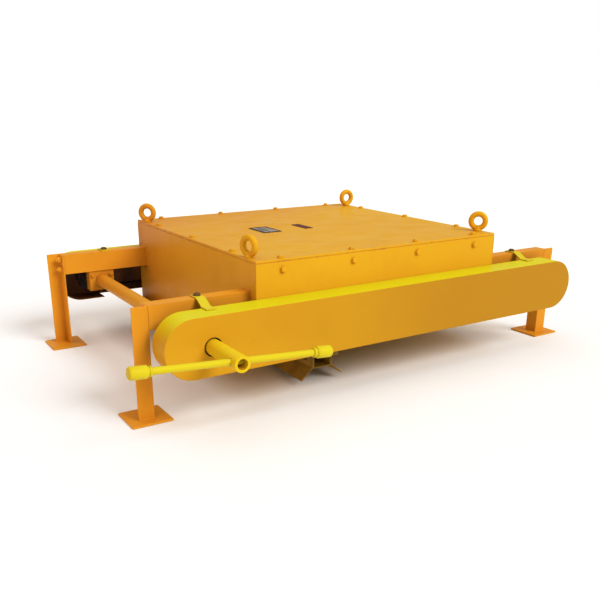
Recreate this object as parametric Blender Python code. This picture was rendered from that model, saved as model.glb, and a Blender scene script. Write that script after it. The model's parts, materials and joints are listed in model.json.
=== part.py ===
"""Suspended permanent-magnet separator with a hand-cranked scraper. Metres, +Z up, feet on z = 0.

The magnet box hangs from four eyebolts or stands on four angle legs. A crank turns a shaft across
the left end. Two chains inside the long guards carry a scraper along the underside of the box.
X runs along the guards, -Y is the crank side.
"""

import math

import bmesh
import bpy
from mathutils import Matrix, Vector

# Offset of the box centre from the middle of the whole bounding box.
OFFSET_X = 0.04135
OFFSET_Y = 0.0875

# Magnet box.
BOX_X = 0.500
BOX_Y = 0.488
BOX_BOTTOM = 0.122
BOX_WALL = 0.008
COVER_TOP = 0.447
COVER_T = 0.006
GASKET_T = 0.002
GAP = 0.0003
CORNER_PAD = 0.095
CORNER_PAD_LOW = 0.405
YOKE = (0.345, 0.385)
MAGNETS = 6
MAGNET_LOW = 0.1260
WEAR_T = 0.004
LIP_X = 0.058
LIP_RISE = 0.026

# Eyebolts, M20.
EYE_X = 0.484
EYE_Y = 0.418
EYE_RING = 0.028
EYE_WIRE = 0.008
EYE_CENTRE = 0.036
EYE_COLLAR = 0.0156
EYE_STUD = 0.010
EYES = {"fl": (-1, -1, 73), "fr": (1, -1, 46), "rl": (-1, 1, 45), "rr": (1, 1, 2)}

# Rail arms, legs and feet.
RAIL_TOP = 0.350
RAIL_H = 0.073
RAIL_OUT = 0.450
RAIL_W = 0.047
RAIL_WALL = 0.004
LEG_X = 0.831
LEG_W = 0.050
LEG_T = 0.005
FOOT = 0.127
FOOT_T = 0.006
FOOT_X = 0.850
FOOT_Y = 0.424

# Chain guards.
GUARD_X = 0.840
GUARD_Z = 0.240
GUARD_R = 0.091
GUARD_OUT = 0.577
GUARD_IN = 0.4885
GUARD_T = 0.003
GUARD_SLOT = 0.660
GUARD_LIP = 0.018
SHAFT_HOLE = 0.028

# Straps that hang the guards on the rail arms.
STRAP_X = 0.668
STRAP_W = 0.030
STRAP_T = 0.004
STRAP_BOLT_Y = 0.427
BOLT_R = 0.006
BOLT_HEAD = 0.0105

# Drive: shafts, bearings, sprockets and chains.
SHAFT_X = 0.690
SHAFT_Z = 0.238
SHAFT_R = 0.0241
SHAFT_BORE = 0.0155
SHAFT_FRONT = 0.752
SHAFT_END = 0.560
BEARING = (0.048, 0.038, 0.020)
BEARING_Y = 0.4285
TEETH = 14
PITCH = 0.0254
PITCH_R = PITCH / 2 / math.sin(math.pi / TEETH)
TOOTH_TIP = PITCH_R + 0.0055
TOOTH_ROOT = PITCH_R - 0.0080
CHAIN_Y = 0.530
CHAIN_INNER = 0.0095
CHAIN_PLATE = 0.0040
CHAIN_HALF = 0.0105
CHAIN_CORE = 0.0075
SPROCKET_HALF = 0.0070

# Crank: tommy bar through the drive shaft.
BAR_Y = -0.720
BAR_R = 0.0100
BAR_HALF = 0.306
BAR_TILT = math.radians(4.4)
GRIP_L = 0.062
GRIP_R = 0.0180

# Scraper, at the place on its travel where it rests.
SCRAPER_X = -0.234
SCRAPER_END = 0.458
BEAM_HALF = 0.036
BEAM_LOW = 0.055
BEAM_TOP = 0.107
BEAM_WALL = 0.004
SKIRT_LOW = 0.019
SKIRT_BEND = 0.058
SKIRT_TOP = 0.098
SKIRT_FLARE = 0.046
SKIRT_T = 0.003
WIPER_TOP = 0.1172
HANGER_Y = (0.4965, 0.5045)
HANGER_HALF = 0.030
HANGER_FOOT = 0.404
HANGER_T = 0.008

# Data plates on the cover.
PLATE_A = (-0.1855, 0.0055, 0.075, 0.121)
PLATE_B = (-0.0230, 0.0040, 0.034, 0.104)
PLATE_T = 0.0012

MATERIALS = {
    "enamel_yellow": ((0.80, 0.40, 0.03, 1), 0.38, 0.0),
    "scraper_olive": ((0.16, 0.11, 0.03, 1), 0.60, 0.2),
    "chain_steel": ((0.05, 0.05, 0.05, 1), 0.45, 0.8),
    "zinc_steel": ((0.45, 0.44, 0.40, 1), 0.40, 0.9),
    "dark_bolt": ((0.10, 0.09, 0.08, 1), 0.45, 0.8),
    "yoke_steel": ((0.30, 0.29, 0.28, 1), 0.55, 0.9),
    "ferrite": ((0.04, 0.04, 0.045, 1), 0.70, 0.0),
    "black_rubber": ((0.02, 0.02, 0.02, 1), 0.80, 0.0),
    "plate_black": ((0.03, 0.03, 0.03, 1), 0.40, 0.3),
    "plate_red": ((0.25, 0.02, 0.02, 1), 0.40, 0.1),
}


def clear_scene():
    for obj in list(bpy.data.objects):
        bpy.data.objects.remove(obj, do_unlink=True)


def material(name, kind):
    colour, rough, metal = MATERIALS[kind]
    mat = bpy.data.materials.new(name)
    mat.use_nodes = True
    shader = mat.node_tree.nodes["Principled BSDF"]
    shader.inputs["Base Color"].default_value = colour
    shader.inputs["Roughness"].default_value = rough
    shader.inputs["Metallic"].default_value = metal
    mat.diffuse_color = colour
    return mat


def empty(name, location, parent=None):
    obj = bpy.data.objects.new(name, None)
    obj.location = location
    obj.parent = parent
    bpy.context.scene.collection.objects.link(obj)
    return obj


def add(name, bm, kind, parent, location=(0, 0, 0), rotation=(0, 0, 0), smooth=None):
    """Turns a bmesh into one named object with its own material."""
    bmesh.ops.remove_doubles(bm, verts=bm.verts, dist=1e-6)
    bmesh.ops.recalc_face_normals(bm, faces=bm.faces)
    mesh = bpy.data.meshes.new(name)
    bm.to_mesh(mesh)
    bm.free()
    obj = bpy.data.objects.new(name, mesh)
    bpy.context.scene.collection.objects.link(obj)
    obj.parent = parent
    obj.location = location
    obj.rotation_euler = rotation
    mesh.materials.append(material(name + "_mat", kind))
    if smooth is not None:
        mesh.shade_smooth()
        mesh.set_sharp_from_angle(angle=math.radians(smooth))
    return obj


def tool(name, bm, parent, location=(0, 0, 0), rotation=(0, 0, 0)):
    """A hidden cutter."""
    obj = add(name, bm, "dark_bolt", parent, location, rotation)
    obj.hide_render = True
    obj.display_type = "WIRE"
    return obj


def combine(obj, other, operation):
    mod = obj.modifiers.new(operation.lower() + "_" + other.name, "BOOLEAN")
    mod.operation = operation
    mod.solver = "EXACT"
    mod.object = other


def bevel(obj, width, segments=2, angle=40):
    mod = obj.modifiers.new("edges", "BEVEL")
    mod.width = width
    mod.segments = segments
    mod.limit_method = "ANGLE"
    mod.angle_limit = math.radians(angle)
    mod.use_clamp_overlap = True


def span(a, b):
    return (a, b) if a < b else (b, a)


def block(bm, xs, ys, zs):
    """An axis-aligned box between two values on each axis."""
    x0, x1 = span(*xs)
    y0, y1 = span(*ys)
    z0, z1 = span(*zs)
    scale = Matrix.Diagonal((x1 - x0, y1 - y0, z1 - z0, 1))
    centre = Matrix.Translation(((x0 + x1) / 2, (y0 + y1) / 2, (z0 + z1) / 2))
    bmesh.ops.create_cube(bm, size=1, matrix=centre @ scale)
    return bm


def boxed(xs, ys, zs):
    return block(bmesh.new(), xs, ys, zs)


def prism(bm, outline, lo, hi, plane):
    """A closed outline swept between lo and hi along the axis that the plane leaves out."""
    def place(u, v, w):
        if plane == "xz":
            return (u, w, v)
        if plane == "yz":
            return (w, u, v)
        return (u, v, w)

    low = [bm.verts.new(place(u, v, lo)) for u, v in outline]
    high = [bm.verts.new(place(u, v, hi)) for u, v in outline]
    bm.faces.new(low)
    bm.faces.new(list(reversed(high)))
    count = len(outline)
    for i in range(count):
        j = (i + 1) % count
        bm.faces.new((low[i], low[j], high[j], high[i]))
    return bm


def ring_prism(bm, outer, inner, lo, hi, plane):
    """Two outlines with the same count of points, one inside the other, swept as a ring."""
    def place(u, v, w):
        if plane == "xz":
            return (u, w, v)
        if plane == "yz":
            return (w, u, v)
        return (u, v, w)

    rows = []
    for outline, depth in ((outer, lo), (outer, hi), (inner, hi), (inner, lo)):
        rows.append([bm.verts.new(place(u, v, depth)) for u, v in outline])
    count = len(outer)
    for k in range(4):
        a, b = rows[k], rows[(k + 1) % 4]
        for i in range(count):
            j = (i + 1) % count
            bm.faces.new((a[i], a[j], b[j], b[i]))
    return bm


def turned(bm, profile, steps, axis="y", centre=(0, 0, 0), start=0.0):
    """A closed (radius, height) profile turned about an axis. Radius 0 makes a pole."""
    turn = {"y": Matrix.Rotation(-math.pi / 2, 4, "X"), "x": Matrix.Rotation(math.pi / 2, 4, "Y")}
    frame = Matrix.Translation(centre) @ turn.get(axis, Matrix.Identity(4))
    rows = []
    for radius, height in profile:
        if radius == 0:
            rows.append([bm.verts.new(frame @ Vector((0, 0, height)))])
            continue
        row = []
        for i in range(steps):
            angle = start + 2 * math.pi * i / steps
            point = Vector((radius * math.cos(angle), radius * math.sin(angle), height))
            row.append(bm.verts.new(frame @ point))
        rows.append(row)
    for k, row in enumerate(rows):
        other = rows[(k + 1) % len(rows)]
        if len(row) == 1 and len(other) == 1:
            continue
        for i in range(steps):
            j = (i + 1) % steps
            if len(row) == 1:
                bm.faces.new((row[0], other[j], other[i]))
            elif len(other) == 1:
                bm.faces.new((row[i], row[j], other[0]))
            else:
                bm.faces.new((row[i], row[j], other[j], other[i]))
    return bm


def rod(radius, lo, hi, steps=32, axis="y", centre=(0, 0, 0), chamfer=0.0, start=0.0):
    """A solid cylinder from lo to hi along the axis."""
    profile = [(0, lo), (radius - chamfer, lo)]
    if chamfer:
        profile += [(radius, lo + chamfer), (radius, hi - chamfer)]
    else:
        profile += [(radius, lo)]
        profile.pop(1)
    profile += [(radius - chamfer, hi), (0, hi)]
    return turned(bmesh.new(), profile, steps, axis, centre, start)


def stadium(half, radius, steps, centre_z=0.0):
    """Points of a stadium in XZ whose total half length is half."""
    points = []
    for side in (1, -1):
        for i in range(steps + 1):
            angle = side * math.pi / 2 - math.pi * i / steps
            x = side * (half - radius) + radius * math.cos(angle)
            points.append((x, centre_z + radius * math.sin(angle)))
    return points


def build_housing(root):
    """Welded steel box, open above and below, with a drilled pad in each corner for an eyebolt."""
    top = COVER_TOP - COVER_T - GASKET_T - 2 * GAP
    low = BOX_BOTTOM + WEAR_T + GAP
    outer = [(-BOX_X, -BOX_Y), (BOX_X, -BOX_Y), (BOX_X, BOX_Y), (-BOX_X, BOX_Y)]
    inner = [(x - math.copysign(BOX_WALL, x), y - math.copysign(BOX_WALL, y)) for x, y in outer]
    bm = ring_prism(bmesh.new(), outer, inner, low, top, "xy")
    housing = add("magnet_housing", bm, "enamel_yellow", root)
    pads = bmesh.new()
    for sx, sy, _ in EYES.values():
        xs = (sx * (BOX_X - BOX_WALL / 2), sx * (BOX_X - CORNER_PAD))
        ys = (sy * (BOX_Y - BOX_WALL / 2), sy * (BOX_Y - CORNER_PAD))
        block(pads, xs, ys, (CORNER_PAD_LOW, top - 0.0002))
    combine(housing, tool("corner_pads", pads, root), "UNION")
    holes = bmesh.new()
    for sx, sy, _ in EYES.values():
        profile = [(0, 0.38), (EYE_STUD + GAP, 0.38), (EYE_STUD + GAP, 0.46), (0, 0.46)]
        turned(holes, profile, 20, "z", (sx * EYE_X, sy * EYE_Y, 0))
    cutter = tool("eyebolt_holes", holes, root)
    combine(housing, cutter, "DIFFERENCE")
    return cutter


def build_cover(root, holes):
    z1 = COVER_TOP - COVER_T
    cover = add("top_cover", boxed((-BOX_X, BOX_X), (-BOX_Y, BOX_Y), (z1, COVER_TOP)),
                "enamel_yellow", root)
    combine(cover, holes, "DIFFERENCE")
    outer = [(-BOX_X + 0.001, -BOX_Y + 0.001), (BOX_X - 0.001, -BOX_Y + 0.001),
             (BOX_X - 0.001, BOX_Y - 0.001), (-BOX_X + 0.001, BOX_Y - 0.001)]
    inner = [(x * 0.984, y * 0.984) for x, y in outer]
    low = z1 - GASKET_T - GAP
    bm = ring_prism(bmesh.new(), outer, inner, low, z1 - GAP, "xy")
    gasket = add("cover_gasket", bm, "black_rubber", root)
    combine(gasket, holes, "DIFFERENCE")


def build_magnet(root):
    """Steel yoke plate with ferrite banks under it, and the non-magnetic plate that closes the box."""
    half_x = BOX_X - BOX_WALL - 0.006
    half_y = BOX_Y - BOX_WALL - 0.006
    add("back_yoke", boxed((-half_x, half_x), (-half_y, half_y), YOKE), "yoke_steel", root)
    pitch = 2 * half_x / MAGNETS
    for i in range(MAGNETS):
        centre = -half_x + pitch * (i + 0.5)
        zs = (MAGNET_LOW + 0.001, YOKE[0] - GAP)
        bm = boxed((centre - pitch / 2 + 0.004, centre + pitch / 2 - 0.004), (-half_y, half_y), zs)
        add("magnet_bank_%d" % (i + 1), bm, "ferrite", root)
    x0, x1 = BOX_X + 0.002, BOX_X + LIP_X
    z0 = BOX_BOTTOM
    t = WEAR_T
    outline = [(-x1, z0 + LIP_RISE), (-x0, z0), (x0, z0), (x1, z0 + LIP_RISE),
               (x1 - 0.001, z0 + LIP_RISE + t), (x0 - 0.002, z0 + t), (-x0 + 0.002, z0 + t),
               (-x1 + 0.001, z0 + LIP_RISE + t)]
    bm = prism(bmesh.new(), outline, -BOX_Y + 0.002, BOX_Y - 0.002, "xz")
    add("wear_plate", bm, "enamel_yellow", root)


def build_eyebolts(root):
    """Cast ring, collar and stud in one forging. The stud goes through the cover into the pad."""
    for key, (sx, sy, yaw) in EYES.items():
        place = (sx * EYE_X, sy * EYE_Y, COVER_TOP)
        turn = (0, 0, -math.radians(yaw))
        stem = [(0, -0.034), (EYE_STUD - 0.001, -0.034), (EYE_STUD, -0.032), (EYE_STUD, GAP),
                (EYE_COLLAR, GAP), (EYE_COLLAR, 0.005), (EYE_COLLAR - 0.003, 0.008),
                (0.0115, 0.013), (0.0100, 0.0165), (0, 0.0165)]
        eye = add("eyebolt_" + key, turned(bmesh.new(), stem, 24, "z"), "enamel_yellow", root,
                  place, turn, smooth=35)
        ring = []
        for i in range(12):
            angle = 2 * math.pi * i / 12
            ring.append((EYE_RING + EYE_WIRE * math.cos(angle), EYE_WIRE * math.sin(angle)))
        bm = turned(bmesh.new(), ring, 32, "y", (0, 0, EYE_CENTRE))
        combine(eye, tool("ring_" + key, bm, root, place, turn), "UNION")


def build_arm(root, key, sx, sy):
    """Rectangular tube from the box side to the leg, drilled for the strap bolt and leg bolts."""
    ys = (sy * RAIL_OUT, sy * (RAIL_OUT - RAIL_W))
    zs = (RAIL_TOP - RAIL_H, RAIL_TOP)
    y0, y1 = span(*ys)
    w = RAIL_WALL
    outer = [(y0, zs[0]), (y1, zs[0]), (y1, zs[1]), (y0, zs[1])]
    inner = [(y0 + w, zs[0] + w), (y1 - w, zs[0] + w), (y1 - w, zs[1] - w), (y0 + w, zs[1] - w)]
    x0, x1 = span(sx * (BOX_X + 0.0005), sx * (LEG_X - 0.0005))
    arm = add("rail_arm_" + key, ring_prism(bmesh.new(), outer, inner, x0, x1, "yz"),
              "enamel_yellow", root)
    bm = rod(BOLT_R + GAP, 0.338, 0.360, 16, "z", (sx * STRAP_X, sy * STRAP_BOLT_Y, 0))
    combine(arm, tool("arm_hole_" + key, bm, root), "DIFFERENCE")


def build_leg(root, key, sx, sy):
    """Equal angle with its corner towards the box, on a square foot plate."""
    a, b = LEG_X, LEG_X + LEG_W
    y0, y1 = RAIL_OUT, RAIL_OUT - LEG_W
    t = LEG_T
    outline = [(a, y0), (b, y0), (b, y0 - t), (a + t, y0 - t), (a + t, y1), (a, y1)]
    outline = [(sx * x, sy * y) for x, y in outline]
    bm = prism(bmesh.new(), outline, FOOT_T + GAP, RAIL_TOP, "xy")
    add("leg_" + key, bm, "enamel_yellow", root)
    half = FOOT / 2
    xs = (sx * (FOOT_X - half), sx * (FOOT_X + half))
    ys = (sy * (FOOT_Y - half), sy * (FOOT_Y + half))
    foot = add("foot_plate_" + key, boxed(xs, ys, (0, FOOT_T)), "enamel_yellow", root)
    bevel(foot, 0.0010, 1)


def build_guard(root, name, sy):
    """Sheet pan round one chain: outer plate and rim, open towards the box, slotted along the
    bottom so that the scraper hanger can travel."""
    outer = stadium(GUARD_X, GUARD_R, 24, GUARD_Z)
    inner = stadium(GUARD_X - GUARD_T, GUARD_R - GUARD_T, 24, GUARD_Z)
    y0 = sy * GUARD_OUT
    y1 = sy * (GUARD_OUT - GUARD_T)
    guard = add(name, prism(bmesh.new(), outer, *span(y0, y1), "xz"), "enamel_yellow", root,
                smooth=30)
    rim = ring_prism(bmesh.new(), outer, inner, *span(sy * (GUARD_OUT - GUARD_T / 2), sy * GUARD_IN), "xz")
    combine(guard, tool(name + "_rim", rim, root), "UNION")
    low = GUARD_Z - GUARD_R
    slot = boxed((-GUARD_SLOT, GUARD_SLOT), (sy * (GUARD_IN - 0.01), sy * (GUARD_OUT - GUARD_LIP)),
                 (low - 0.01, low + 0.02))
    combine(guard, tool(name + "_slot", slot, root), "DIFFERENCE")
    if sy < 0:
        bm = rod(SHAFT_HOLE, -0.60, -0.55, 40, "y", (-SHAFT_X, 0, SHAFT_Z))
        combine(guard, tool(name + "_hole", bm, root), "DIFFERENCE")


def build_strap(root, key, sx, sy):
    """Cranked flat strap from the rail arm down to the top of the guard, with its bolt."""
    z0 = RAIL_TOP + GAP
    z1 = GUARD_Z + GUARD_R + GAP
    t = STRAP_T
    path = [(0.408, z0), (0.453, z0), (0.487, z1), (0.524, z1)]
    outline = [(sy * y, z) for y, z in path]
    outline += [(sy * (y + 0.0012), z + t) for y, z in reversed(path)]
    outline[4] = (sy * 0.524, z1 + t)
    outline[7] = (sy * 0.408, z0 + t)
    x = sx * STRAP_X
    strap = add("guard_strap_" + key,
                prism(bmesh.new(), outline, x - STRAP_W / 2, x + STRAP_W / 2, "yz"), "zinc_steel", root)
    centre = (x, sy * STRAP_BOLT_Y, 0)
    combine(strap, tool("strap_hole_" + key, rod(BOLT_R + GAP, 0.34, 0.37, 16, "z", centre), root),
            "DIFFERENCE")
    place = (x, sy * STRAP_BOLT_Y, z0 + t + GAP)
    profile = [(0, 0), (BOLT_HEAD, 0), (BOLT_HEAD, 0.0065), (BOLT_HEAD - 0.0015, 0.0075), (0, 0.0075)]
    bolt = add("strap_bolt_" + key, turned(bmesh.new(), profile, 6, "z", start=0.3), "dark_bolt",
               root, place)
    shank = rod(BOLT_R, -0.020, 0.002, 16, "z")
    combine(bolt, tool("strap_shank_" + key, shank, root, place), "UNION")


def build_bearing(root, key, sx, sy):
    """Bored block under the rail arm."""
    half_x, half_z, half_y = BEARING
    top = RAIL_TOP - RAIL_H - GAP
    x = sx * SHAFT_X
    xs = (x - half_x, x + half_x)
    ys = (sy * BEARING_Y - half_y, sy * BEARING_Y + half_y)
    bearing = add("bearing_" + key, boxed(xs, ys, (SHAFT_Z - half_z, top)), "enamel_yellow", root)
    bm = rod(SHAFT_R + GAP, -0.6, 0.6, 40, "y", (x, 0, SHAFT_Z))
    combine(bearing, tool("bearing_bore_" + key, bm, root), "DIFFERENCE")


def tube(length_lo, length_hi):
    profile = [(SHAFT_BORE, length_lo), (SHAFT_R, length_lo), (SHAFT_R, length_hi), (SHAFT_BORE, length_hi)]
    return turned(bmesh.new(), profile, 40, "y")


def build_shafts(drive, idler):
    shaft = add("drive_shaft", tube(-SHAFT_FRONT, SHAFT_END), "enamel_yellow", drive, smooth=30)
    turn = (0, BAR_TILT, 0)
    bm = rod(BAR_R + 0.0008, -0.05, 0.05, 24, "x")
    combine(shaft, tool("bar_hole", bm, drive, (0, BAR_Y, 0), turn), "DIFFERENCE")
    add("idler_shaft", tube(-SHAFT_END, SHAFT_END), "enamel_yellow", idler, smooth=30)


def sprocket_outline():
    """Simple teeth: a flat tip and a flat root, symmetrical so that chain can run either way."""
    points = []
    step = 2 * math.pi / TEETH
    shape = ((-0.32, TOOTH_ROOT), (-0.20, PITCH_R), (-0.09, TOOTH_TIP), (0.09, TOOTH_TIP),
             (0.20, PITCH_R), (0.32, TOOTH_ROOT))
    for i in range(TEETH):
        for share, radius in shape:
            angle = (i + 0.5 + share) * step
            points.append((radius * math.cos(angle), radius * math.sin(angle)))
    return points


def build_sprocket(name, parent, sy):
    y = sy * CHAIN_Y
    bm = prism(bmesh.new(), sprocket_outline(), y - SPROCKET_HALF, y + SPROCKET_HALF, "xz")
    wheel = add(name, bm, "chain_steel", parent)
    lo, hi = span(sy * (CHAIN_Y - 0.022), sy * (CHAIN_Y + 0.022))
    combine(wheel, tool(name + "_hub", rod(0.036, lo, hi, 32, "y"), parent), "UNION")
    combine(wheel, tool(name + "_bore", rod(SHAFT_R + GAP, lo - 0.01, hi + 0.01, 40, "y"), parent),
            "DIFFERENCE")


def build_chain(root, name, sy):
    """Endless roller chain: two rows of side plates, joined by the row of rollers on the runs."""
    reach = SHAFT_X + PITCH_R
    outer = stadium(reach + CHAIN_HALF, PITCH_R + CHAIN_HALF, 20, SHAFT_Z)
    inner = stadium(reach - CHAIN_HALF, PITCH_R - CHAIN_HALF, 20, SHAFT_Z)
    a, b = CHAIN_INNER, CHAIN_INNER + CHAIN_PLATE
    chain = add(name, ring_prism(bmesh.new(), outer, inner, *span(sy * CHAIN_Y - b, sy * CHAIN_Y - a), "xz"),
                "chain_steel", root, smooth=30)
    bm = ring_prism(bmesh.new(), outer, inner, *span(sy * CHAIN_Y + a, sy * CHAIN_Y + b), "xz")
    combine(chain, tool(name + "_plates", bm, root), "UNION")
    for label, side in (("upper", 1), ("lower", -1)):
        z = SHAFT_Z + side * PITCH_R
        core = boxed((-0.640, 0.640), (sy * CHAIN_Y - a - 0.001, sy * CHAIN_Y + a + 0.001),
                     (z - CHAIN_CORE, z + CHAIN_CORE))
        combine(chain, tool(name + "_" + label, core, root), "UNION")


def build_crank(tommy):
    """Tommy bar through the shaft, with a round grip on each end."""
    half = BAR_HALF - GRIP_L * 0.35
    bm = rod(BAR_R, -half, half, 24, "x", chamfer=0.001)
    add("tommy_bar", bm, "enamel_yellow", tommy, smooth=30)
    for name, side in (("grip_left", -1), ("grip_right", 1)):
        inner = BAR_HALF - GRIP_L
        r = GRIP_R
        profile = [(BAR_R + GAP, inner), (r - 0.003, inner), (r, inner + 0.003), (r, BAR_HALF - 0.004),
                   (r - 0.004, BAR_HALF), (0, BAR_HALF), (0, half + GAP), (BAR_R + GAP, half + GAP)]
        profile = [(radius, side * height) for radius, height in profile]
        add(name, turned(bmesh.new(), profile, 28, "x"), "enamel_yellow", tommy, smooth=30)


def build_scraper(scraper):
    """Hollow beam with a flared skirt on each side, a wiping strip on top and a hanger at each end."""
    ys = (-SCRAPER_END, SCRAPER_END)
    h, w = BEAM_HALF, BEAM_WALL
    outer = [(-h, BEAM_LOW), (h, BEAM_LOW), (h, BEAM_TOP), (-h, BEAM_TOP)]
    inner = [(-h + w, BEAM_LOW + w), (h - w, BEAM_LOW + w), (h - w, BEAM_TOP - w), (-h + w, BEAM_TOP - w)]
    add("scraper_beam", ring_prism(bmesh.new(), outer, inner, *ys, "xz"), "scraper_olive", scraper)
    for name, side in (("scraper_skirt_left", -1), ("scraper_skirt_right", 1)):
        a = h + GAP
        t = SKIRT_T
        tip = a + SKIRT_FLARE
        path = [(a, SKIRT_TOP), (a, SKIRT_BEND), (tip, SKIRT_LOW), (tip + 0.002, SKIRT_LOW + 0.002),
                (a + t, SKIRT_BEND + 0.0015), (a + t, SKIRT_TOP)]
        outline = [(side * x, z) for x, z in path]
        add(name, prism(bmesh.new(), outline, *ys, "xz"), "scraper_olive", scraper)
    wiped = HANGER_FOOT - 0.002
    bm = boxed((-0.010, 0.010), (-wiped, wiped), (BEAM_TOP + GAP, WIPER_TOP))
    add("scraper_wiper", bm, "black_rubber", scraper)
    for name, sy in (("scraper_hanger_front", -1), ("scraper_hanger_rear", 1)):
        y0, y1 = HANGER_Y
        z0 = BEAM_TOP + GAP
        z1 = z0 + HANGER_T
        outline = [(HANGER_FOOT, z0), (y1, z0), (y1, 0.168), (0.5152, 0.168), (0.5152, 0.192),
                   (y0, 0.192), (y0, z1), (HANGER_FOOT, z1)]
        outline = [(sy * y, z) for y, z in outline]
        add(name, prism(bmesh.new(), outline, -HANGER_HALF, HANGER_HALF, "yz"), "scraper_olive", scraper)


def build_plates(root):
    for name, spec, kind in (("data_plate", PLATE_A, "plate_black"), ("warning_plate", PLATE_B, "plate_red")):
        x, y, wide, deep = spec
        xs = (x - wide / 2, x + wide / 2)
        ys = (y - deep / 2, y + deep / 2)
        add(name, boxed(xs, ys, (COVER_TOP + GAP, COVER_TOP + GAP + PLATE_T)), kind, root)


def main():
    clear_scene()
    root = empty("separator", (OFFSET_X, OFFSET_Y, 0))
    drive = empty("drive_axis", (-SHAFT_X, 0, SHAFT_Z), root)
    idler = empty("idler_axis", (SHAFT_X, 0, SHAFT_Z), root)
    tommy = empty("tommy_axis", (0, BAR_Y, 0), drive)
    tommy.rotation_euler = (0, BAR_TILT, 0)
    scraper = empty("scraper_axis", (SCRAPER_X, 0, 0), root)
    build_cover(root, build_housing(root))
    build_magnet(root)
    build_eyebolts(root)
    for key, (sx, sy, _) in EYES.items():
        build_arm(root, key, sx, sy)
        build_leg(root, key, sx, sy)
        build_strap(root, key, sx, sy)
        build_bearing(root, key, sx, sy)
    for label, sy in (("front", -1), ("rear", 1)):
        build_guard(root, "chain_guard_" + label, sy)
        build_chain(root, "chain_" + label, sy)
        build_sprocket("sprocket_drive_" + label, drive, sy)
        build_sprocket("sprocket_idler_" + label, idler, sy)
    build_shafts(drive, idler)
    build_crank(tommy)
    build_scraper(scraper)
    build_plates(root)


main()
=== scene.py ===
"""Looks for the suspended magnet separator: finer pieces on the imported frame, paint, floor, light, camera.

Metres, +Z up, +X along the chain guards away from the crank, +Y from the crank side to the rear."""

import json
import math

import bmesh
import bpy
import numpy as np
from mathutils import Matrix, Vector


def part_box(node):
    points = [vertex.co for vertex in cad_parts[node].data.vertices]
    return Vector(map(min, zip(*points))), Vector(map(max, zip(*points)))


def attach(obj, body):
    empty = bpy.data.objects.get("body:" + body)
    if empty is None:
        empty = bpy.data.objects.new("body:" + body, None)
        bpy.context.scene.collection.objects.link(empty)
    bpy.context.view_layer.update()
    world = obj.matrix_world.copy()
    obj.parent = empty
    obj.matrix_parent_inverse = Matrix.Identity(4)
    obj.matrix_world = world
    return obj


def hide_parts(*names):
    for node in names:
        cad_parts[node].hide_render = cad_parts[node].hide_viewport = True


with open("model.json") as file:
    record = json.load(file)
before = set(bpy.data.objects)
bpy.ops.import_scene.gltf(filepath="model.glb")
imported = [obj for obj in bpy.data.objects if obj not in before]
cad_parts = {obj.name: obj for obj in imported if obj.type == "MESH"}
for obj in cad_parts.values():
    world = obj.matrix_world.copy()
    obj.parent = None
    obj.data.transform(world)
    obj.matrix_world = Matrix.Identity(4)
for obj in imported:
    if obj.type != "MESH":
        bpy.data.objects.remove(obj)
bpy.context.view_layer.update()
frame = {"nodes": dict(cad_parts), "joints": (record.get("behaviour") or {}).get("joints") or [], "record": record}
NODES = frame["nodes"]
rng = np.random.default_rng(7)


# ---------------------------------------------------------------- places, all read from the frame


def centre(node):
    lo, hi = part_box(node)
    return (lo + hi) / 2


HOUSE_LO, HOUSE_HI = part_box("magnet_housing")
COVER_LO, COVER_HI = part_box("top_cover")
MID = Vector(((COVER_LO.x + COVER_HI.x) / 2, (COVER_LO.y + COVER_HI.y) / 2, 0))
BOX_X = COVER_HI.x - MID.x
BOX_Y = COVER_HI.y - MID.y
TOP = COVER_HI.z
DRIVE = centre("sprocket_drive_rear")
IDLER = centre("sprocket_idler_rear")
TEETH = 14
PITCH = 0.0254
PITCH_R = PITCH / 2 / math.sin(math.pi / TEETH)
CORNERS = {"fl": (-1, -1), "fr": (1, -1), "rl": (-1, 1), "rr": (1, 1)}


UP = (0, 0, 1)


# ---------------------------------------------------------------- materials

RUN_BROWN = (0.42, 0.20, 0.025, 1)
SPECK_BROWN = (0.22, 0.11, 0.02, 1)
CHIP_PRIMER = (0.20, 0.13, 0.08, 1)
RUST = (0.13, 0.055, 0.02, 1)
SCRATCH = (0.34, 0.27, 0.16, 1)
PAINT_TINT = (1.0, 0.62, 0.20, 1)
PAINT_SPECULAR = 0.10
CHIP_EDGE = 0.0035


def scaled(colour, share):
    """The same colour, darker or lighter."""
    return tuple(c * share for c in colour[:3]) + (1,)


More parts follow.
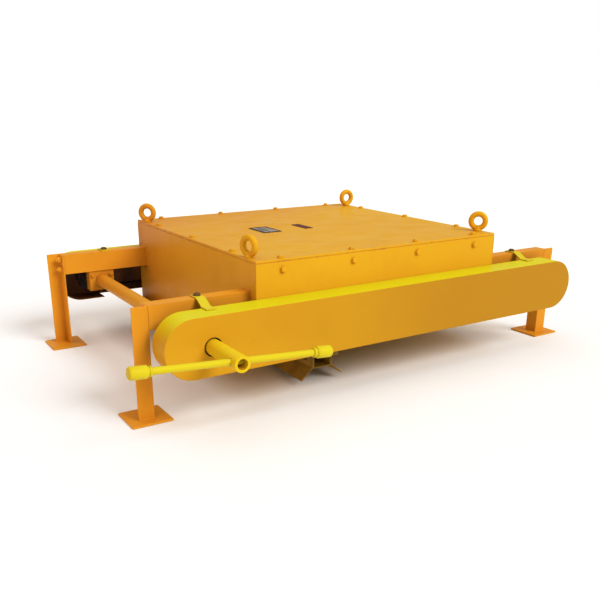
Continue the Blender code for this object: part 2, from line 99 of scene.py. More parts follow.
class Nodes:
    """A short way to build one node material."""

    def __init__(self, name):
        self.mat = bpy.data.materials.new(name)
        self.mat.use_nodes = True
        self.tree = self.mat.node_tree
        self.tree.nodes.clear()
        self.out = self.tree.nodes.new("ShaderNodeOutputMaterial")
        self.shader = self.tree.nodes.new("ShaderNodeBsdfPrincipled")
        self.link(self.shader.outputs[0], self.out.inputs[0])
        self.space = self.tree.nodes.new("ShaderNodeTexCoord").outputs["Object"]

    def link(self, a, b):
        self.tree.links.new(a, b)

    def put(self, kind, **values):
        node = self.tree.nodes.new(kind)
        for key, value in values.items():
            setattr(node, key, value)
        return node

    def noise(self, scale, detail=4.0, rough=0.55, stretch=None):
        node = self.put("ShaderNodeTexNoise")
        node.inputs["Scale"].default_value = scale
        node.inputs["Detail"].default_value = detail
        node.inputs["Roughness"].default_value = rough
        source = self.space
        if stretch:
            mapping = self.put("ShaderNodeMapping")
            mapping.inputs["Scale"].default_value = stretch
            self.link(self.space, mapping.inputs["Vector"])
            source = mapping.outputs[0]
        self.link(source, node.inputs["Vector"])
        return node.outputs["Fac"]

    def ramp(self, fac, *stops):
        node = self.put("ShaderNodeValToRGB")
        ramp = node.color_ramp
        while len(ramp.elements) < len(stops):
            ramp.elements.new(0.5)
        for element, (place, value) in zip(ramp.elements, stops):
            element.position = place
            element.color = value if isinstance(value, tuple) else (value, value, value, 1)
        self.link(fac, node.inputs[0])
        return node.outputs[0]

    def maths(self, operation, a, b, clamp=False):
        node = self.put("ShaderNodeMath", operation=operation, use_clamp=clamp)
        for socket, value in zip(node.inputs, (a, b)):
            if isinstance(value, (int, float)):
                socket.default_value = value
            else:
                self.link(value, socket)
        return node.outputs[0]

    def blend(self, fac, a, b, kind="MIX"):
        node = self.put("ShaderNodeMix", data_type="RGBA", blend_type=kind)
        for socket, value in zip((node.inputs[0], node.inputs[6], node.inputs[7]), (fac, a, b)):
            if isinstance(value, (int, float, tuple)):
                socket.default_value = value
            else:
                self.link(value, socket)
        return node.outputs[2]

    def edges(self, radius):
        """Near 1 on sharp outer edges, 0 on flat faces: how far a rounded normal leaves the face's own."""
        bevel = self.put("ShaderNodeBevel", samples=4)
        bevel.inputs["Radius"].default_value = radius
        geo = self.put("ShaderNodeNewGeometry")
        dot = self.put("ShaderNodeVectorMath", operation="DOT_PRODUCT")
        self.link(bevel.outputs[0], dot.inputs[0])
        self.link(geo.outputs["Normal"], dot.inputs[1])
        return self.maths("SUBTRACT", 1.0, dot.outputs["Value"], clamp=True)

    def bumps(self, *layers):
        """Layers of (height socket, distance in metres)."""
        last = None
        for height, distance in layers:
            node = self.put("ShaderNodeBump")
            node.inputs["Strength"].default_value = 1.0
            node.inputs["Distance"].default_value = distance
            self.link(height, node.inputs["Height"])
            if last:
                self.link(last, node.inputs["Normal"])
            last = node.outputs[0]
        self.link(last, self.shader.inputs["Normal"])

    def set(self, name, value):
        socket = self.shader.inputs[name]
        if isinstance(value, (int, float, tuple)):
            socket.default_value = value
        else:
            self.link(value, socket)


def enamel(name, colour, shade, chip=0.55, rough=0.34, lit_top=None, shaded_end=None):
    """Brushed-on industrial enamel: slow colour drift, dust, runs, chipped edges, orange-peel.

    The colour given for the faces that look up is a painted highlight on them. The colour given for one end is
    painted shade: its colour, the direction towards that end, and where the change starts and stops."""
    m = Nodes(name)
    drift = m.noise(2.2, 3.0)
    cloud = m.noise(11.0, 5.0)
    fine = m.noise(130.0, 3.0)
    streak = m.noise(9.0, 4.0, stretch=(1.0, 1.0, 0.18))
    body = m.blend(m.ramp(drift, (0.35, 0.0), (0.70, 1.0)), colour, shade)
    body = m.blend(m.ramp(cloud, (0.52, 0.0), (0.80, 0.30)), body, scaled(colour, 0.86))
    body = m.blend(m.ramp(streak, (0.60, 0.0), (0.82, 0.22)), body, RUN_BROWN)
    speck = m.ramp(m.noise(75.0, 2.0), (0.70, 0.0), (0.76, 1.0))
    body = m.blend(m.maths("MULTIPLY", speck, 0.22), body, SPECK_BROWN)
    # Painted shade: the colour turns darker towards one end, along a wavy line.
    if shaded_end:
        shade_tone, heading, start, stop = shaded_end
        dot = m.put("ShaderNodeVectorMath", operation="DOT_PRODUCT")
        m.link(m.space, dot.inputs[0])
        dot.inputs[1].default_value = (*heading, 0.0)
        waver = m.maths("MULTIPLY", m.maths("SUBTRACT", drift, 0.5), 0.4)
        wave = m.maths("ADD", dot.outputs["Value"], waver)
        share = m.maths("DIVIDE", m.maths("SUBTRACT", wave, start), stop - start, clamp=True)
        body = m.blend(share, body, shade_tone)
    # Painted highlight: paler colour on the faces that look up.
    if lit_top:
        highlight_facing = m.put("ShaderNodeSeparateXYZ")
        m.link(m.put("ShaderNodeTexCoord").outputs["Normal"], highlight_facing.inputs[0])
        body = m.blend(m.ramp(highlight_facing.outputs["Z"], (0.30, 0.0), (0.97, 1.0)), body, lit_top)
    rim = m.ramp(m.edges(CHIP_EDGE), (0.02, 0.0), (0.18, 1.0))
    spared = 0.12 * (1 - chip)
    worn = m.maths("MULTIPLY", rim, m.ramp(m.noise(38.0, 5.0), (0.50 + spared, 0.0), (0.62 + spared, 1.0)))
    body = m.blend(m.maths("MULTIPLY", worn, 0.75), body, CHIP_PRIMER)
    m.set("Base Color", body)
    m.set("Roughness", m.ramp(cloud, (0.30, rough - 0.06), (0.75, rough + 0.14)))
    m.set("Specular IOR Level", PAINT_SPECULAR)
    m.set("Specular Tint", PAINT_TINT)
    m.bumps((cloud, 0.0010), (fine, 0.00018), (worn, -0.00012))
    return m.mat


def bare_steel(name, colour, rough=0.42, rust=0.35, metal=0.85, scale=30.0):
    """Dull steel with oily patches and brown rust in blotches."""
    m = Nodes(name)
    patch = m.noise(scale, 6.0)
    fine = m.noise(scale * 9, 3.0)
    mask = m.ramp(patch, (0.62 - 0.2 * rust, 0.0), (0.78 - 0.1 * rust, 1.0))
    body = m.blend(m.ramp(fine, (0.3, 0.0), (0.7, 1.0)), colour, scaled(colour, 0.7))
    body = m.blend(m.maths("MULTIPLY", mask, rust), body, RUST)
    m.set("Base Color", body)
    m.set("Metallic", metal)
    m.set("Roughness", m.ramp(patch, (0.3, rough - 0.08), (0.75, rough + 0.25)))
    m.bumps((patch, 0.0004), (fine, 0.0001))
    return m.mat


def dirty_paint(name, colour, dirt):
    """Paint under a film of dirt, dried drips and bright scratches."""
    m = Nodes(name)
    grime = m.noise(14.0, 6.0, stretch=(1.0, 1.0, 0.35))
    fine = m.noise(170.0, 3.0)
    scratch = m.noise(60.0, 2.0, stretch=(1.0, 0.06, 1.0))
    body = m.blend(m.ramp(grime, (0.38, 0.0), (0.62, 1.0)), colour, dirt)
    body = m.blend(m.ramp(scratch, (0.66, 0.0), (0.72, 0.5)), body, SCRATCH)
    m.set("Base Color", body)
    m.set("Roughness", m.ramp(fine, (0.3, 0.55), (0.7, 0.85)))
    m.bumps((grime, 0.0006), (fine, 0.0002))
    return m.mat


def dull(name, colour, rough):
    """Matt rubber, ferrite or print, with fine grain and paler patches."""
    m = Nodes(name)
    fine = m.noise(220.0, 4.0)
    wide = m.noise(18.0, 4.0)
    m.set("Base Color", m.blend(m.ramp(wide, (0.35, 0.0), (0.75, 1.0)), colour, scaled(colour, 1.9)))
    m.set("Roughness", m.ramp(fine, (0.3, rough - 0.1), (0.7, rough + 0.1)))
    m.bumps((fine, 0.00015))
    return m.mat


# The body is painted darker and more orange towards -X and +Y (the rear left) as painted shade.
YELLOW = enamel("enamel_body", (0.645, 0.375, 0.017, 1), (0.625, 0.348, 0.017, 1),
                shaded_end=((0.56, 0.265, 0.022, 1), (-0.6, 0.8), 0.05, 0.75))
STAND = enamel("enamel_stand", (0.67, 0.330, 0.024, 1), (0.63, 0.290, 0.024, 1), chip=0.8)
# The guard is painted paler on its upward faces as a painted highlight, and darker towards +X as painted shade.
GUARD = enamel("enamel_guard", (0.57, 0.330, 0.016, 1), (0.55, 0.310, 0.016, 1), chip=0.4,
               lit_top=(0.60, 0.555, 0.010, 1), shaded_end=((0.43, 0.240, 0.015, 1), (1.0, 0.0), -0.62, 0.30))
HUB = enamel("enamel_hub", (0.66, 0.50, 0.014, 1), (0.64, 0.46, 0.014, 1), chip=0.7, rough=0.30)
LEMON = enamel("enamel_lemon", (0.60, 0.515, 0.022, 1), (0.56, 0.455, 0.018, 1), chip=0.7, rough=0.30)
# Dark red-brown grease inside the guards, darkened further as painted shade in the hollow.
GREASE_AND_SHADE = dirty_paint("guard_grease_and_shade", (0.260, 0.085, 0.022, 1), (0.090, 0.036, 0.014, 1))
OLIVE = dirty_paint("scraper_paint", (0.400, 0.230, 0.016, 1), (0.240, 0.138, 0.014, 1))
CHAIN = bare_steel("chain_oiled", (0.030, 0.026, 0.024, 1), 0.38, 0.5, 0.75)
GEAR = bare_steel("sprocket_steel", (0.050, 0.042, 0.036, 1), 0.40, 0.6, 0.75)
BOLT = bare_steel("bolt_brown", (0.210, 0.120, 0.035, 1), 0.50, 0.7, 0.35, 90.0)
YOKE = bare_steel("yoke_plate", (0.26, 0.25, 0.24, 1), 0.5, 0.4)
RUBBER = dull("rubber_strip", (0.018, 0.018, 0.017, 1), 0.75)
FERRITE = dull("ferrite_block", (0.030, 0.030, 0.032, 1), 0.65)
PLATE = dull("plate_black", (0.020, 0.016, 0.012, 1), 0.70)
PRINT = dull("plate_grey", (0.280, 0.250, 0.220, 1), 0.60)
RED = dull("plate_red", (0.085, 0.014, 0.010, 1), 0.65)


# ---------------------------------------------------------------- mesh helpers


def piece(name, bm, body, mat, smooth=38):
    """A finished bmesh as a named piece that rides on a body, smooth up to an angle in degrees."""
    mesh = bpy.data.meshes.new(name)
    bm.to_mesh(mesh)
    bm.free()
    obj = bpy.data.objects.new(name, mesh)
    bpy.context.scene.collection.objects.link(obj)
    mesh.materials.append(mat)
    mesh.shade_smooth()
    mesh.set_sharp_from_angle(angle=math.radians(smooth))
    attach(obj, body)
    return obj


def body_of_node(node):
    bodies = frame["record"]["behaviour"]["bodies"]
    return next(name for name, members in bodies.items() if node in members)


def refine(node, mat, width, segments, angle=32):
    """The node's own solid with its edges rounded as a real piece's are."""
    bm = bmesh.new()
    bm.from_mesh(NODES[node].data)
    bmesh.ops.remove_doubles(bm, verts=bm.verts, dist=2e-6)
    bmesh.ops.dissolve_limit(bm, angle_limit=math.radians(0.6), verts=bm.verts, edges=bm.edges)
    bmesh.ops.recalc_face_normals(bm, faces=bm.faces)
    obj = piece(node + "_fine", bm, body_of_node(node), mat)
    mod = obj.modifiers.new("rounded", "BEVEL")
    mod.width = width
    mod.segments = segments
    mod.limit_method = "ANGLE"
    mod.angle_limit = math.radians(angle)
    mod.use_clamp_overlap = True
    mod.harden_normals = True
    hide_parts(node)
    return obj


def standing(place, axis):
    """The matrix that puts local +Z along the axis, with the origin at place."""
    return Matrix.Translation(place) @ Vector(axis).to_track_quat("Z", "Y").to_matrix().to_4x4()


def lathe(bm, profile, steps, place, axis, close=False):
    """Turns (radius, height) points about an axis through place."""
    stand_on = standing(place, axis)
    rows = []
    for radius, height in profile:
        if radius < 1e-9:
            rows.append([bm.verts.new(stand_on @ Vector((0, 0, height)))])
            continue
        ring = []
        for i in range(steps):
            a = 2 * math.pi * i / steps
            spot = Vector((radius * math.cos(a), radius * math.sin(a), height))
            ring.append(bm.verts.new(stand_on @ spot))
        rows.append(ring)
    pairs = list(zip(rows, rows[1:]))
    if close:
        pairs.append((rows[-1], rows[0]))
    for low, high in pairs:
        for i in range(steps):
            j = (i + 1) % steps
            if len(low) == 1 and len(high) == 1:
                break
            if len(low) == 1:
                bm.faces.new((low[0], high[j], high[i]))
            elif len(high) == 1:
                bm.faces.new((low[i], low[j], high[0]))
            else:
                bm.faces.new((low[i], low[j], high[j], high[i]))
    return bm


def fixed(bm):
    """The same bmesh with every face turned outwards."""
    bmesh.ops.recalc_face_normals(bm, faces=bm.faces)
    return bm


WASHER_T = 0.0021


def hexagon(bm, place, axis, across, height, turn):
    """Hexagon head with the corners turned down, and a faint dome."""
    m = standing(place, axis) @ Matrix.Rotation(turn, 4, "Z")
    steps = 36
    round_r = across / 2 * 1.02
    rows = []
    for share, h, hexed in ((1, 0, 1), (1, height * 0.72, 1), (0.97, height * 0.90, 0.55), (0.86, height, 0),
                            (0.60, height * 1.03, 0)):
        ring = []
        for i in range(steps):
            a = 2 * math.pi * i / steps
            k = (a % (math.pi / 3)) - math.pi / 6
            flat = across / 2 / math.cos(k)
            radius = (flat * hexed + round_r * (1 - hexed)) * share
            ring.append(bm.verts.new(m @ Vector((radius * math.cos(a), radius * math.sin(a), h))))
        rows.append(ring)
    for low, high in zip(rows, rows[1:]):
        for i in range(steps):
            j = (i + 1) % steps
            bm.faces.new((low[i], low[j], high[j], high[i]))
    bm.faces.new(rows[-1])


def bolt(bm, place, axis, across, height, washer=WASHER_T):
    """Bolt head on its washer, standing on the face at place."""
    axis = Vector(axis).normalized()
    if washer:
        r = across * 0.68
        hole = across * 0.30
        ring = [(hole, 0.0), (r, 0.0), (r, washer - 0.0005), (r - 0.0005, washer), (hole, washer)]
        lathe(bm, ring, 28, place, axis, close=True)
    hexagon(bm, Vector(place) + axis * washer, axis, across, height, rng.uniform(0, 1.05))


def bead(bm, path, radius, step=0.0045):
    """A weld bead: a rippled half-buried tube along straight runs between points."""
    points = []
    for a, b in zip(path, path[1:]):
        a, b = Vector(a), Vector(b)
        count = max(2, int((b - a).length / step))
        for i in range(count + 1):
            points.append(a.lerp(b, i / count))
    rows = []
    for i, p in enumerate(points):
        ahead = points[min(i + 1, len(points) - 1)] - points[max(i - 1, 0)]
        if ahead.length < 1e-7:
            continue
        q = ahead.to_track_quat("Z", "Y").to_matrix()
        r = radius * (1 + 0.13 * math.sin(i * 2.1) + rng.uniform(-0.10, 0.10))
        ring = []
        for k in range(8):
            a = 2 * math.pi * k / 8
            ring.append(bm.verts.new(p + q @ Vector((r * math.cos(a), r * math.sin(a), 0))))
        rows.append(ring)
    for low, high in zip(rows, rows[1:]):
        for k in range(8):
            j = (k + 1) % 8
            bm.faces.new((low[k], low[j], high[j], high[k]))
    bm.faces.new(list(reversed(rows[0])))
    bm.faces.new(rows[-1])


def slab(bm, lo, hi):
    """A box between two corners."""
    lo, hi = Vector(lo), Vector(hi)
    size = Matrix.Diagonal((*(hi - lo), 1))
    bmesh.ops.create_cube(bm, size=1, matrix=Matrix.Translation((lo + hi) / 2) @ size)


# ---------------------------------------------------------------- magnet box


BOLT_INSET = 0.016


def magnet_box():
    refine("magnet_housing", YELLOW, 0.0025, 3)
    refine("top_cover", YELLOW, 0.0012, 2)
    refine("wear_plate", YELLOW, 0.0010, 2)
    bolts = bmesh.new()
    for x in (-0.405, -0.136, 0.136, 0.405):
        for side in (-1, 1):
            bolt(bolts, (MID.x + x, MID.y + side * (BOX_Y - BOLT_INSET), TOP), UP, 0.016, 0.0060)
    for y in (-0.305, 0.0, 0.305):
        for side in (-1, 1):
            bolt(bolts, (MID.x + side * (BOX_X - BOLT_INSET), MID.y + y, TOP), UP, 0.016, 0.0060)
    piece("cover_bolts", fixed(bolts), "frame", YELLOW)
    face = bmesh.new()
    for side in (-1, 1):
        for x in (-0.405, -0.137, 0.133, 0.400):
            place = (MID.x + x, MID.y + side * BOX_Y, TOP - 0.032)
            bolt(face, place, (0, side, 0), 0.018, 0.0065)
    piece("face_bolts", fixed(face), "frame", YELLOW)
    seams = bmesh.new()
    for sx, sy in CORNERS.values():
        x = MID.x + sx * (BOX_X - 0.0010)
        y = MID.y + sy * (BOX_Y - 0.0010)
        bead(seams, [(x, y, HOUSE_LO.z + 0.004), (x, y, HOUSE_HI.z - 0.004)], 0.0019)
    piece("box_corner_welds", fixed(seams), "frame", YELLOW, smooth=60)


EYE_WIRE = 0.0101
EYE_R = 0.0359 - EYE_WIRE
EYE_RISE = 0.036
EYE_TURNS = {"fl": 73, "fr": 46, "rl": 45, "rr": 2}


def eyebolts():
    """Forged ring, waist, collar and the flat under it, one smooth piece each."""
    for key, turn in EYE_TURNS.items():
        base = centre("eyebolt_" + key)
        base.z = TOP
        bm = bmesh.new()
        stem = [(0.0, 0.0004), (0.0149, 0.0004), (0.0155, 0.0012), (0.0155, 0.0040), (0.0148, 0.0056),
                (0.0135, 0.0072), (0.0122, 0.0092), (0.0113, 0.0120), (0.0106, 0.0150), (0.0096, 0.0180),
                (0.0, 0.0185)]
        lathe(bm, stem, 48, base, UP)
        yaw = math.radians(turn)
        normal = Vector((math.sin(yaw), math.cos(yaw), 0))
        ring = []
        for i in range(24):
            a = 2 * math.pi * i / 24
            ring.append((EYE_R + EYE_WIRE * math.cos(a), EYE_WIRE * math.sin(a)))
        lathe(bm, ring, 72, base + Vector((0, 0, EYE_RISE)), normal, close=True)
        eye = piece("eyebolt_%s_fine" % key, fixed(bm), "frame", YELLOW, smooth=50)
        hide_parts("eyebolt_" + key)


def plates():
    """Blank data plates with rivets. Their fields are empty."""
    for node, mat in (("data_plate", PLATE), ("warning_plate", RED)):
        refine(node, mat, 0.0003, 1)
        lo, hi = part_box(node)
        rivets = bmesh.new()
        inset = 0.0045
        for x in (lo.x + inset, hi.x - inset):
            for y in (lo.y + inset, hi.y - inset):
                dome = [(0.0, 0.0012), (0.0010, 0.0011), (0.0018, 0.0006), (0.0020, 0.0)]
                lathe(rivets, dome, 16, (x, y, hi.z), UP)
        piece(node + "_rivets", fixed(rivets), "frame", BOLT)
    lo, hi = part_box("data_plate")
    fields = bmesh.new()
    rows = 5
    step = (hi.y - lo.y - 0.020) / rows
    for i in range(rows):
        y0 = lo.y + 0.012 + i * step
        for x0, x1 in ((lo.x + 0.009, lo.x + 0.027), (lo.x + 0.032, hi.x - 0.009)):
            slab(fields, (x0, y0, hi.z), (x1, y0 + step * 0.62, hi.z + 0.00018))
    piece("data_plate_fields", fields, "frame", PRINT)


# ---------------------------------------------------------------- arms, legs, feet


LEG_T = 0.005


def stand():
    """Arms, angle legs and foot plates, with a weld round each joint and two bolts through each leg."""
    welds = bmesh.new()
    bolts = bmesh.new()
    for key, (sx, sy) in CORNERS.items():
        refine("rail_arm_" + key, STAND, 0.0035, 3)
        refine("leg_" + key, STAND, 0.0012, 2)
        refine("foot_plate_" + key, STAND, 0.0010, 2)
        lo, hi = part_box("rail_arm_" + key)
        x = (lo.x if sx > 0 else hi.x) - sx * 0.0002
        loop = [(x, lo.y, lo.z), (x, hi.y, lo.z), (x, hi.y, hi.z), (x, lo.y, hi.z), (x, lo.y, lo.z)]
        bead(welds, loop, 0.0030)
        lo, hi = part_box("leg_" + key)
        z = lo.z
        out_x, in_x = (hi.x, lo.x) if sx > 0 else (lo.x, hi.x)
        out_y, in_y = (hi.y, lo.y) if sy > 0 else (lo.y, hi.y)
        bead(welds, [(out_x, out_y, z), (in_x, out_y, z), (in_x, in_y, z)], 0.0028)
        tx, ty = in_x + sx * LEG_T, out_y - sy * LEG_T
        bead(welds, [(out_x, ty, z), (tx, ty, z), (tx, in_y, z)], 0.0024)
        for height in (0.331, 0.294):
            place = (tx, (out_y + in_y) / 2 - sy * 0.002, height)
            bolt(bolts, place, (sx, 0, 0), 0.020, 0.0120)
            end = [(0.0060, 0.0), (0.0060, 0.0190), (0.0052, 0.0200), (0.0, 0.0200)]
            lathe(bolts, end, 20, place, (sx, 0, 0))
    piece("stand_welds", fixed(welds), "frame", STAND, smooth=60)
    piece("leg_bolts", fixed(bolts), "frame", STAND)


# ---------------------------------------------------------------- guards and straps


def guards():
    """Chain guards, dull red-brown with grease inside and darkened there as painted shade in the hollow, with
    their straps and strap bolts.
    """
    for label, side in (("front", -1), ("rear", 1)):
        node = "chain_guard_" + label
        obj = refine(node, GUARD, 0.0016, 3, angle=40)
        obj.data.materials.append(GREASE_AND_SHADE)
        lo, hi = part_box(node)
        mid = (lo + hi) / 2
        reach = (hi.x - lo.x - hi.z + lo.z) / 2
        outer = lo.y if side < 0 else hi.y
        # The pan's inner faces and the rim's inward faces take the second material: grease, and painted shade in
        # the hollow.
        for face in obj.data.polygons:
            c, n = face.center, face.normal
            spine = Vector((min(max(c.x, mid.x - reach), mid.x + reach), c.y, mid.z))
            shaded_pan_inside = n.y * side < -0.5 and abs(c.y - outer) < 0.010
            if shaded_pan_inside or (abs(n.y) < 0.5 and (c - spine).dot(n) < 0):
                face.material_index = 1
    for key in CORNERS:
        refine("guard_strap_" + key, LEMON, 0.0008, 2)
        lo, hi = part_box("strap_bolt_" + key)
        bm = bmesh.new()
        place = Vector(((lo.x + hi.x) / 2, (lo.y + hi.y) / 2, hi.z - 0.0075))
        bolt(bm, place, UP, 0.0175, 0.0052)
        head = piece("strap_bolt_%s_fine" % key, fixed(bm), "frame", BOLT)
        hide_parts("strap_bolt_" + key)


# ---------------------------------------------------------------- drive


TUBE_WALL = 0.0086
CROSS_BORE_R = 0.0108


def tube_with_hole(node, body, mat, hole):
    """Tube with rounded ends. With a hole, it is bored across for the bar and paler outside the guard."""
    lo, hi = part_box(node)
    x, z = (lo.x + hi.x) / 2, (lo.z + hi.z) / 2
    r = (hi.z - lo.z) / 2
    inner = r - TUBE_WALL
    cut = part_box("chain_guard_front")[0].y + 0.0015
    length = hi.y - lo.y
    profile = [(inner, 0.0010), (inner + 0.0010, 0.0),
               (r - 0.0022, 0.0), (r - 0.0006, 0.0007), (r, 0.0022)]
    if hole:
        profile.append((r, cut - lo.y))
    profile += [(r, length - 0.0022), (r - 0.0022, length),
                (inner + 0.0010, length), (inner, length - 0.0010)]
    bm = lathe(bmesh.new(), profile, 96, (x, lo.y, z), (0, 1, 0), close=True)
    obj = piece(node + "_fine", fixed(bm), body, mat)
    if hole:
        rod = [(0, -0.06), (CROSS_BORE_R, -0.06), (CROSS_BORE_R, 0.06), (0, 0.06)]
        cutter = lathe(bmesh.new(), rod, 48, (x, hole.centre.y, z), hole.axis)
        mesh = bpy.data.meshes.new("cross_bore")
        fixed(cutter).to_mesh(mesh)
        cutter.free()
        other = bpy.data.objects.new("cross_bore", mesh)
        bpy.context.scene.collection.objects.link(other)
        mod = obj.modifiers.new("bored", "BOOLEAN")
        mod.solver = "EXACT"
        mod.object = other
        graph = bpy.context.evaluated_depsgraph_get()
        made = bpy.data.meshes.new_from_object(obj.evaluated_get(graph))
        obj.modifiers.clear()
        obj.data = made
        obj.data.set_sharp_from_angle(angle=math.radians(38))
        bpy.data.objects.remove(other, do_unlink=True)
        obj.data.materials.append(HUB)
        for face in obj.data.polygons:
            if face.center.y < cut:
                face.material_index = 1
    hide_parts(node)


class Bar:
    """Where the tommy bar lies, and its sizes."""

    axis = Vector(next(j["axis"] for j in frame["joints"] if j["name"] == "bar_slide"))
    centre = centre("tommy_bar")
    r = 0.0100
    half = 0.3060
    grip_length = 0.0620
    grip_r = 0.0180


def crank():
    """Tommy bar, and on each end a round grip with a grooved neck."""
    r, half, g = Bar.r, Bar.half, Bar.grip_r
    end = half - Bar.grip_length * 0.35
    profile = [(0, -end), (r - 0.001, -end), (r, -end + 0.001), (r, end - 0.001), (r - 0.001, end), (0, end)]
    bm = lathe(bmesh.new(), profile, 64, Bar.centre, Bar.axis)
    bar = piece("tommy_bar_fine", fixed(bm), "tommy", LEMON)
    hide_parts("tommy_bar")
    for node, side in (("grip_left", -1), ("grip_right", 1)):
        a = half - Bar.grip_length
        profile = [(r + 0.0003, a), (g - 0.0055, a), (g - 0.0035, a + 0.0012), (g - 0.0030, a + 0.0055),
                   (g - 0.0052, a + 0.0070), (g - 0.0052, a + 0.0100), (g - 0.0012, a + 0.0120),
                   (g, a + 0.0145), (g, half - 0.0080), (g - 0.0008, half - 0.0045),
                   (g - 0.0030, half - 0.0015), (g - 0.0065, half - 0.0002), (g - 0.0090, half), (0, half)]
        bm = lathe(bmesh.new(), profile, 64, Bar.centre, Bar.axis * side)
        knob = piece(node + "_fine", fixed(bm), "tommy", LEMON)
        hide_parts(node)


TOOTH_HALF = 0.0068
TOOTH_CREST = 0.0045
TOOTH_DEPTH = 0.0060
WHEEL_BORE = 0.02445
HUB_R = 0.0360


def tooth_outline():
    """The teeth seen from the side, as points about the wheel's centre."""
    steps = 12
    outline = []
    for i in range(TEETH):
        for k in range(steps):
            phase = k / steps
            a = (i + phase) / TEETH * 2 * math.pi
            depth = math.cos(2 * math.pi * phase)
            radius = PITCH_R - 0.0012 + TOOTH_DEPTH * (1 - (0.5 + 0.5 * depth) ** 0.75 * 2.0)
            outline.append((radius * math.cos(a), radius * math.sin(a)))
    return outline


def sprocket(node, body, side):
    """Fourteen rounded teeth, a turned-down hub and a set screw."""
    mid = centre(node)
    lo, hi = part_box(node)
    outline = tooth_outline()
    count = len(outline)
    bm = bmesh.new()
    rows = []
    for y, share in ((-TOOTH_HALF, 0.965), (-TOOTH_CREST, 1.0), (TOOTH_CREST, 1.0), (TOOTH_HALF, 0.965)):
        rows.append([bm.verts.new((mid.x + u * share, mid.y + y, mid.z + v * share)) for u, v in outline])
    inner = []
    for y in (-TOOTH_HALF, TOOTH_HALF):
        ring = []
        for i in range(count):
            a = 2 * math.pi * i / count
            u, v = WHEEL_BORE * math.cos(a), WHEEL_BORE * math.sin(a)
            ring.append(bm.verts.new((mid.x + u, mid.y + y, mid.z + v)))
        inner.append(ring)
    loops = [inner[0]] + rows + [inner[1]]
    for low, high in zip(loops, loops[1:] + loops[:1]):
        for i in range(count):
            j = (i + 1) % count
            bm.faces.new((low[i], low[j], high[j], high[i]))
    wide = (hi.y - lo.y) / 2
    hub = [(WHEEL_BORE, -wide), (HUB_R - 0.0015, -wide), (HUB_R, -wide + 0.0015), (HUB_R, wide - 0.0015),
           (HUB_R - 0.0015, wide), (WHEEL_BORE, wide)]
    lathe(bm, hub, 64, mid, (0, 1, 0), close=True)
    wheel = piece(node + "_fine", fixed(bm), body, GEAR)
    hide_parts(node)
    screw = bmesh.new()
    place = mid + Vector((0, -side * 0.0150, 0.0358))
    socket = [(0, 0.0024), (0.0022, 0.0024), (0.0022, 0.0030), (0.0040, 0.0030), (0.0040, 0.0)]
    lathe(screw, socket, 24, place, UP)
    piece(node + "_set_screw", fixed(screw), body, BOLT)


LINK_T = 0.0021
LINK_HALF = 0.0102
LINK_WAIST = 0.0070
INNER_LINK = 0.01005
OUTER_LINK = 0.01240
PIN_END = 0.01330
ROLLER_R = 0.0079
ROLLER_HALF = 0.0088
WHEEL_REACH = 0.050


def link_plate(bm, a, b, y):
    """Figure-eight side plate between two pins in the XZ plane."""
    along = (b - a).normalized()
    across = Vector((-along.z, 0, along.x))
    outline = []
    for pin, sign in ((b, 1), (a, -1)):
        for i in range(9):
            t = math.radians(-68 + 136 * i / 8)
            reach, rise = sign * LINK_HALF * math.cos(t), sign * LINK_HALF * math.sin(t)
            outline.append(pin + along * reach + across * rise)
        outline.append((a + b) / 2 + across * (sign * LINK_WAIST))
    low = [bm.verts.new((p.x, y - LINK_T / 2, p.z)) for p in outline]
    high = [bm.verts.new((p.x, y + LINK_T / 2, p.z)) for p in outline]
    bm.faces.new(low)
    bm.faces.new(list(reversed(high)))
    for i in range(len(outline)):
        j = (i + 1) % len(outline)
        bm.faces.new((low[i], low[j], high[j], high[i]))


def chain(node):
    """Roller chain: inner and outer links in turn. Rollers show on the runs between the wheels."""
    y = centre(node).y
    cx0, cx1, cz = DRIVE.x, IDLER.x, DRIVE.z
    run = cx1 - cx0
    arc = math.pi * PITCH_R
    total = 2 * run + 2 * arc
    count = 2 * round(total / PITCH / 2)

    def at(s):
        s %= total
        if s < run:
            return Vector((cx0 + s, y, cz - PITCH_R))
        s -= run
        if s < arc:
            t = s / PITCH_R
            return Vector((cx1 + PITCH_R * math.sin(t), y, cz - PITCH_R * math.cos(t)))
        s -= arc
        if s < run:
            return Vector((cx1 - s, y, cz + PITCH_R))
        t = (s - run) / PITCH_R
        return Vector((cx0 - PITCH_R * math.sin(t), y, cz + PITCH_R * math.cos(t)))

    pins = [at(total * i / count) for i in range(count)]
    sides = bmesh.new()
    rolls = bmesh.new()
    pin_end = [(0.0038, 0.0), (0.0038, 0.0006), (0.0032, 0.0010), (0, 0.0010)]
    roller = [(0, -ROLLER_HALF), (ROLLER_R, -ROLLER_HALF), (ROLLER_R, ROLLER_HALF), (0, ROLLER_HALF)]
    for i, p in enumerate(pins):
        q = pins[(i + 1) % count]
        offset = INNER_LINK if i % 2 else OUTER_LINK
        for side in (-1, 1):
            link_plate(sides, p, q, y + side * offset)
            lathe(rolls, pin_end, 12, p + Vector((0, side * PIN_END, 0)), (0, side, 0))
        if cx0 + WHEEL_REACH < p.x < cx1 - WHEEL_REACH:
            lathe(rolls, roller, 20, p, (0, 1, 0))
    links = piece(node + "_links", fixed(sides), "frame", CHAIN, smooth=30)
    piece(node + "_rollers", fixed(rolls), "frame", CHAIN)
    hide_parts(node)


